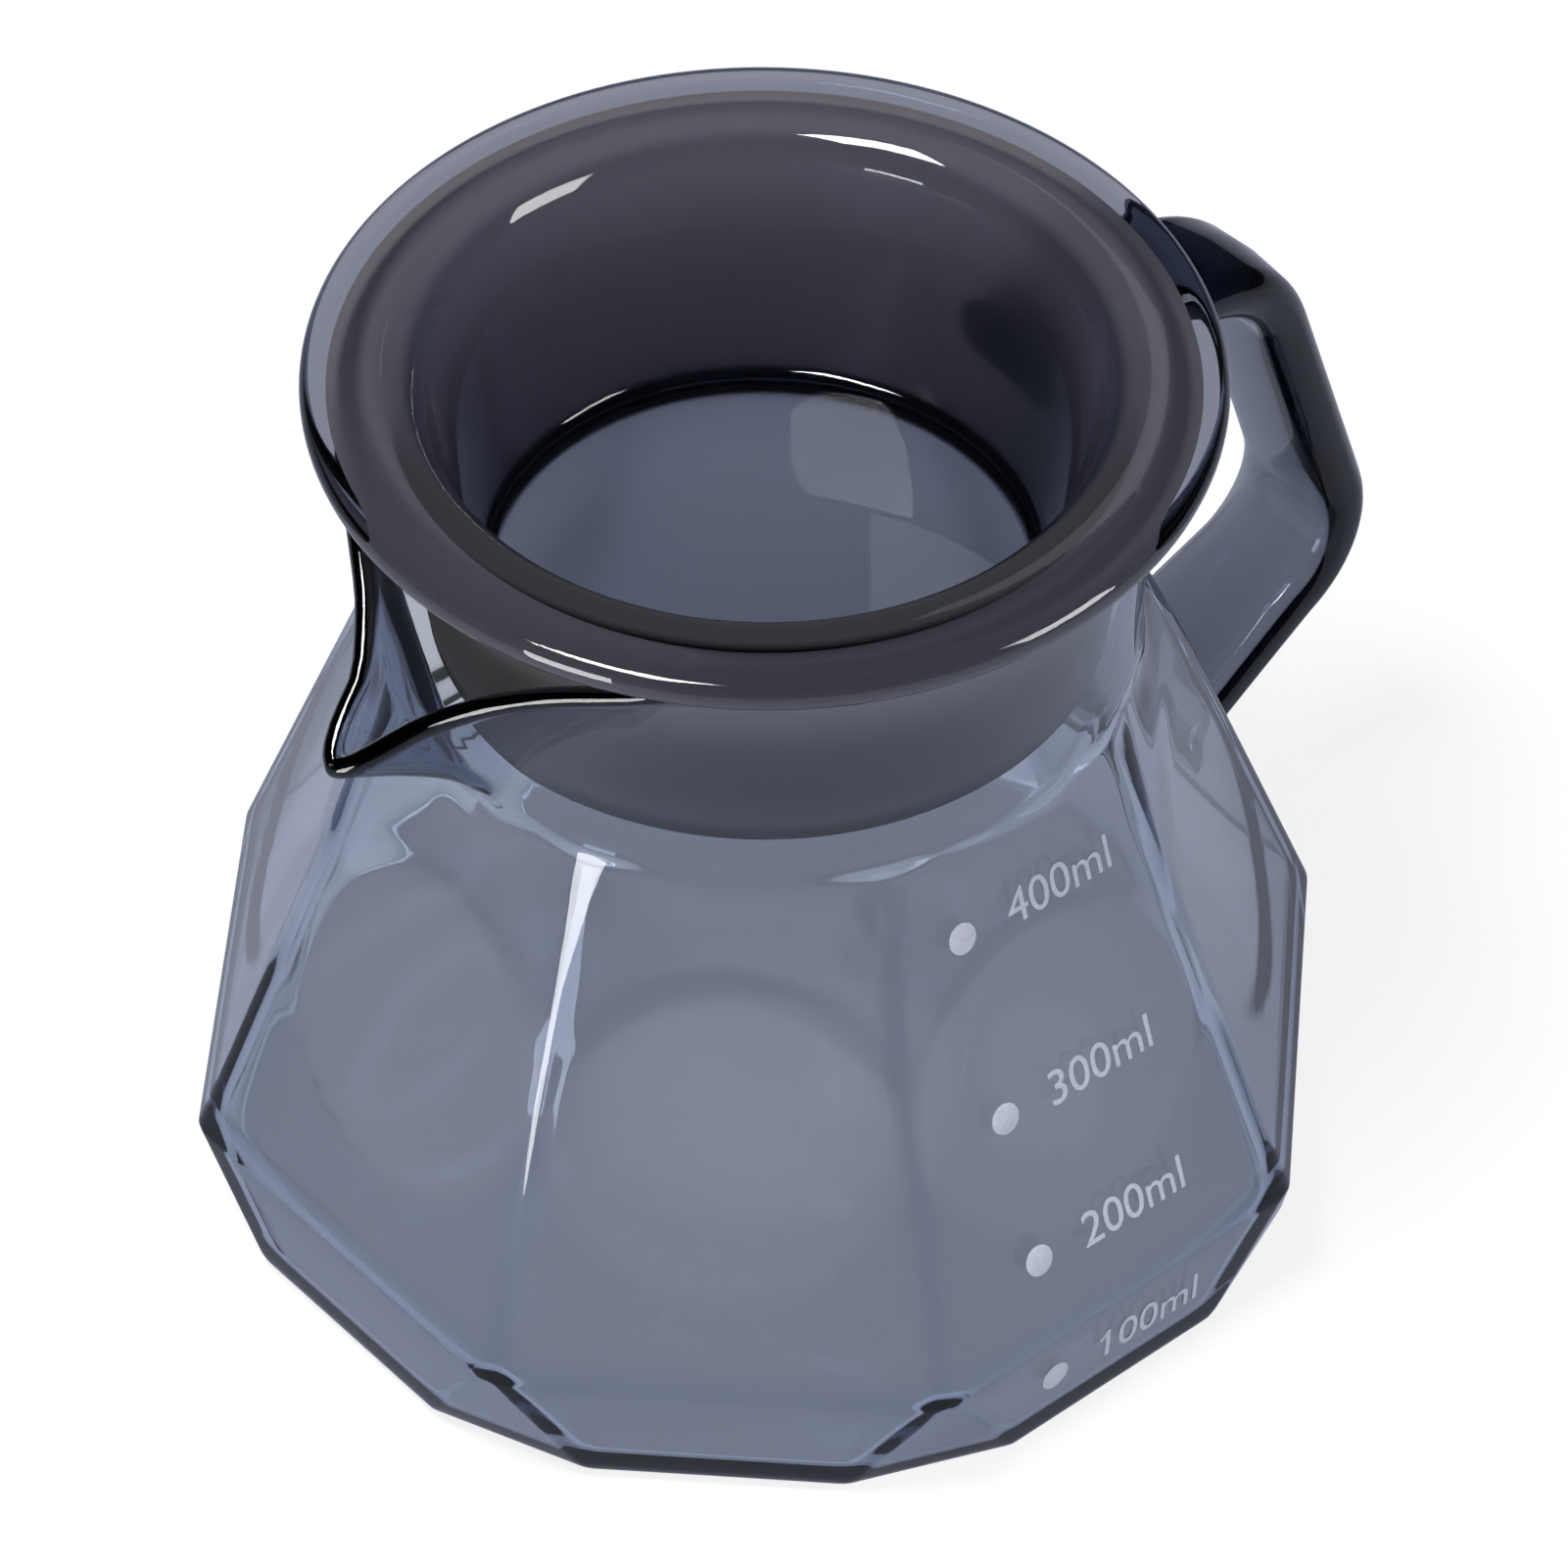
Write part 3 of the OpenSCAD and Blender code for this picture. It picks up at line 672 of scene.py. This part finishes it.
def bump_node(nodes, links, height, depth):
    """A bump of a depth in metres."""
    bump = nodes.new("ShaderNodeBump")
    bump.inputs["Strength"].default_value = 1.0
    bump.inputs["Distance"].default_value = depth
    links.new(height, bump.inputs["Height"])
    return bump.outputs["Normal"]


def math_node(nodes, links, operation, *inputs):
    """The result of an operation on values, each a number or another node's socket."""
    node = nodes.new("ShaderNodeMath")
    node.operation = operation
    for socket, value in zip(node.inputs, inputs):
        if isinstance(value, (int, float)):
            socket.default_value = value
        else:
            links.new(value, socket)
    return node.outputs[0]


def smooth_step(nodes, links, value, base, span):
    """Rises softly from 0 to 1 over a span that is counted from a base, in millimetres."""
    node = nodes.new("ShaderNodeMapRange")
    node.interpolation_type = "SMOOTHSTEP"
    node.inputs["From Min"].default_value = (base + span[0]) * MM
    node.inputs["From Max"].default_value = (base + span[1]) * MM
    links.new(value, node.inputs["Value"])
    return node.outputs["Result"]


def blend_colour(nodes, links, share, first, second):
    """A colour between two, by a share."""
    node = nodes.new("ShaderNodeMix")
    node.data_type = "RGBA"
    links.new(share, node.inputs["Factor"])
    for socket, value in ((node.inputs[6], first), (node.inputs[7], second)):
        if isinstance(value, tuple):
            socket.default_value = value
        else:
            links.new(value, socket)
    return node.outputs[2]


def glass_material(name, group, smoke_colour, density, wave_depth):
    """Smoked glass: clear skin with a slow wave, and grey glass that darkens with thickness."""
    material, nodes, links, glass, out = node_material(name)
    glass.inputs["Base Color"].default_value = WHITE
    glass.inputs["Transmission Weight"].default_value = 1.0
    glass.inputs["IOR"].default_value = GLASS_IOR
    surface = surface_node(nodes, group, GLASS_WAVE, GLASS_FILM)
    polish = spread(nodes, links, surface.outputs["Film"], *GLASS_ROUGHNESS)
    links.new(polish, glass.inputs["Roughness"])
    links.new(bump_node(nodes, links, surface.outputs["Wave"], wave_depth), glass.inputs["Normal"])
    smoke = nodes.new("ShaderNodeVolumeAbsorption")
    smoke.inputs["Color"].default_value = smoke_colour
    smoke.inputs["Density"].default_value = density
    links.new(smoke.outputs["Volume"], out.inputs["Volume"])
    return material


def grind_stopper_and_paint_glow(material):
    """Grinds the stopper's side and seat matt where they meet the neck, and paints shade and a
    glow on them.
    """
    nodes, links = material.node_tree.nodes, material.node_tree.links
    glass = nodes["Principled BSDF"]
    polish = glass.inputs["Roughness"].links[0].from_socket

    def calc(operation, *inputs):
        return math_node(nodes, links, operation, *inputs)

    def step(value, base, span):
        return smooth_step(nodes, links, value, base, span)

    def blend(share, first, second):
        return blend_colour(nodes, links, share, first, second)

    place = nodes.new("ShaderNodeTexCoord")
    split = nodes.new("ShaderNodeSeparateXYZ")
    links.new(place.outputs["Object"], split.inputs[0])
    x, y, height = split.outputs
    radius = calc("SQRT", calc("MULTIPLY_ADD", y, y, calc("MULTIPLY", x, x)))
    # The matt skin, and the duller sole under the cup
    axis_reach = (GROUND_MIDDLE - GROUND_SLOPE * CUP_FLOOR) * MM
    side = calc("GREATER_THAN", radius, calc("MULTIPLY_ADD", height, GROUND_SLOPE, axis_reach))
    under = calc("LESS_THAN", height, (FLANGE_UNDER + FLANGE_MARGIN) * MM)
    seat = calc("LESS_THAN", radius, (FLANGE_RADIUS - BEAD_MARGIN) * MM)
    matt = calc("MULTIPLY", calc("MULTIPLY", side, under), seat)
    sole = calc("LESS_THAN", height, (CUP_FLOOR - SOLE_MARGIN) * MM)
    dull = calc("MAXIMUM", calc("MULTIPLY", matt, MATT_ROUGHNESS),
                calc("MULTIPLY", sole, SOLE_ROUGHNESS))
    links.new(calc("ADD", dull, polish), glass.inputs["Roughness"])
    # Painted shade: a near-black band at the plug's foot, turning into a warm, darker tint over
    # the rest of the matt skin
    tint = blend(step(height, PLUG_BOTTOM, FOOT_SHADE_RISE), PLUG_FOOT_PAINTED_SHADE, GROUND_PAINTED_SHADE)
    links.new(blend(matt, WHITE, tint), glass.inputs["Base Color"])
    # Painted glow, an emission standing in for light scattered by the matt skin: most under the
    # flange, none at the stopper's foot, a little in the lip
    rise = step(height, FLANGE_UNDER, GLOW_RISE)
    rise = calc("MULTIPLY_ADD", rise, 1 - GLOW_BELOW, GLOW_BELOW)
    painted_glow = calc("MULTIPLY", calc("MULTIPLY", step(height, PLUG_BOTTOM, GLOW_FOOT), rise), matt)
    lip = calc("MULTIPLY", step(height, FLANGE_TOP, LIP_GLOW_RISE),
               step(radius, CUP_MOUTH_RADIUS, LIP_GLOW_REACH))
    lip_painted_glow = blend(lip, BLACK, LIP_PAINTED_GLOW)
    links.new(blend(painted_glow, lip_painted_glow, GROUND_PAINTED_GLOW), glass.inputs["Emission Color"])
    glass.inputs["Emission Strength"].default_value = 1.0


def enamel_material(group):
    """Fired white print, a little thin and grainy."""
    material, nodes, links, enamel, _ = node_material("fired_enamel")
    surface = surface_node(nodes, group, ENAMEL_WAVE, ENAMEL_FILM)
    colour = nodes.new("ShaderNodeValToRGB")
    ends = ((NOISE_LOW, ENAMEL_DARK), (NOISE_HIGH, ENAMEL_PALE))
    for stop, (position, shade) in zip(colour.color_ramp.elements, ends):
        stop.position, stop.color = position, shade
    links.new(surface.outputs["Film"], colour.inputs["Fac"])
    links.new(colour.outputs["Color"], enamel.inputs["Base Color"])
    sheen = spread(nodes, links, surface.outputs["Wave"], *ENAMEL_ROUGHNESS)
    links.new(sheen, enamel.inputs["Roughness"])
    grain = bump_node(nodes, links, surface.outputs["Film"], ENAMEL_BUMP)
    links.new(grain, enamel.inputs["Normal"])
    return material


def floor_material():
    """White sweep: plain white to the eye, and greyer in what the glass shows of it."""
    material, nodes, links, paint, out = node_material("white_sweep")
    nodes.remove(paint)
    path = nodes.new("ShaderNodeLightPath")
    last = nodes.new("ShaderNodeBsdfDiffuse")
    last.inputs["Color"].default_value = FLOOR_GREY
    for ray, glow, grey, tint in FLOOR_RAYS:
        plain = nodes.new("ShaderNodeBsdfDiffuse")
        plain.inputs["Color"].default_value = (*(grey * share for share in tint), 1)
        light = nodes.new("ShaderNodeEmission")
        light.inputs["Color"].default_value = (*tint, 1)
        light.inputs["Strength"].default_value = glow
        both, pick = nodes.new("ShaderNodeAddShader"), nodes.new("ShaderNodeMixShader")
        links.new(plain.outputs[0], both.inputs[0])
        links.new(light.outputs[0], both.inputs[1])
        links.new(path.outputs[ray], pick.inputs[0])
        links.new(last.outputs[0], pick.inputs[1])
        links.new(both.outputs[0], pick.inputs[2])
        last = pick
    links.new(last.outputs[0], out.inputs["Surface"])
    return material


def make_world():
    """A dark room: the default grey, faint at the horizon and fainter overhead for the glass."""
    world = bpy.data.worlds.new("studio")
    bpy.context.scene.world = world
    world.use_nodes = True
    nodes, links = world.node_tree.nodes, world.node_tree.links
    back = nodes["Background"]
    path = nodes.new("ShaderNodeLightPath")
    where = nodes.new("ShaderNodeTexCoord")
    split = nodes.new("ShaderNodeSeparateXYZ")
    links.new(where.outputs["Generated"], split.inputs[0])
    fade = nodes.new("ShaderNodeMapRange")
    fade.interpolation_type = "SMOOTHSTEP"
    fade.inputs["From Min"].default_value, fade.inputs["From Max"].default_value = ROOM_FADE
    fade.inputs["To Min"].default_value = ROOM_LOW
    fade.inputs["To Max"].default_value = ROOM_HIGH
    links.new(split.outputs["Z"], fade.inputs["Value"])
    level = nodes.new("ShaderNodeMix")
    links.new(path.outputs["Is Camera Ray"], level.inputs["Factor"])
    links.new(fade.outputs["Result"], level.inputs[2])
    level.inputs[3].default_value = 1.0
    links.new(level.outputs[0], back.inputs["Strength"])


def turn_to(place, aim):
    """The turn of a lamp or camera that faces a point."""
    return (Vector(aim) - Vector(place)).to_track_quat("-Z", "Y")


def put(name, data, place, turn):
    """Puts a lamp or camera in the scene."""
    piece = bpy.data.objects.new(name, data)
    piece.location = place
    piece.rotation_mode = "QUATERNION"
    piece.rotation_quaternion = turn
    bpy.context.scene.collection.objects.link(piece)
    return piece


def make_stage():
    """Floor, room, lamps and the camera at the photograph's place."""
    scene = bpy.context.scene
    clear_selection()
    bpy.ops.mesh.primitive_plane_add(size=FLOOR_SIZE, location=(0, 0, -FLOOR_DROP))
    floor = named("floor")
    floor.data.materials.append(floor_material())
    make_world()
    for name, place, aim, size, power in LAMPS:
        lamp = bpy.data.lights.new(name, "AREA")
        lamp.shape = "RECTANGLE"
        lamp.size, lamp.size_y = size
        lamp.energy = power
        put(name, lamp, place, turn_to(place, aim)).visible_camera = False
    lens = bpy.data.cameras.new("camera")
    lens.lens, lens.sensor_width = CAMERA_LENS, CAMERA_SENSOR
    lens.clip_start, lens.clip_end = CAMERA_NEAR, CAMERA_FAR
    roll = Quaternion((0, 0, 1), math.radians(CAMERA_ROLL))
    scene.camera = put("camera", lens, CAMERA_PLACE, turn_to(CAMERA_PLACE, CAMERA_AIM) @ roll)
    scene.view_settings.view_transform = "Standard"
    scene.cycles.max_bounces = LIGHT_BOUNCES
    scene.cycles.transmission_bounces = LIGHT_BOUNCES


surface = surface_group()
vessel_glass = glass_material("smoked_glass_vessel", surface, *VESSEL_GLASS)
lid_glass = glass_material("smoked_glass_lid", surface, *LID_GLASS)
grind_stopper_and_paint_glow(lid_glass)
handle_glass = glass_material("smoked_glass_handle", surface, *HANDLE_GLASS)
enamel = enamel_material(surface)

for piece, nodes, material, body in (
        (make_vessel(), ("vessel", "foot"), vessel_glass, "carafe"),
        (make_handle(), ("handle",), handle_glass, "carafe"),
        (make_lid(), ("lid",), lid_glass, "lid")):
    piece.data.materials.append(material)
    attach(piece, body)
    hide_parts(*nodes)

for reading, height in MARKS.items():
    for piece, node in ((make_dot(reading, height), "dot_" + reading),
                        (make_label(reading, height), "label_" + reading)):
        piece.data.materials.append(enamel)
        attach(piece, "carafe")
        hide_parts(node)

make_stage()
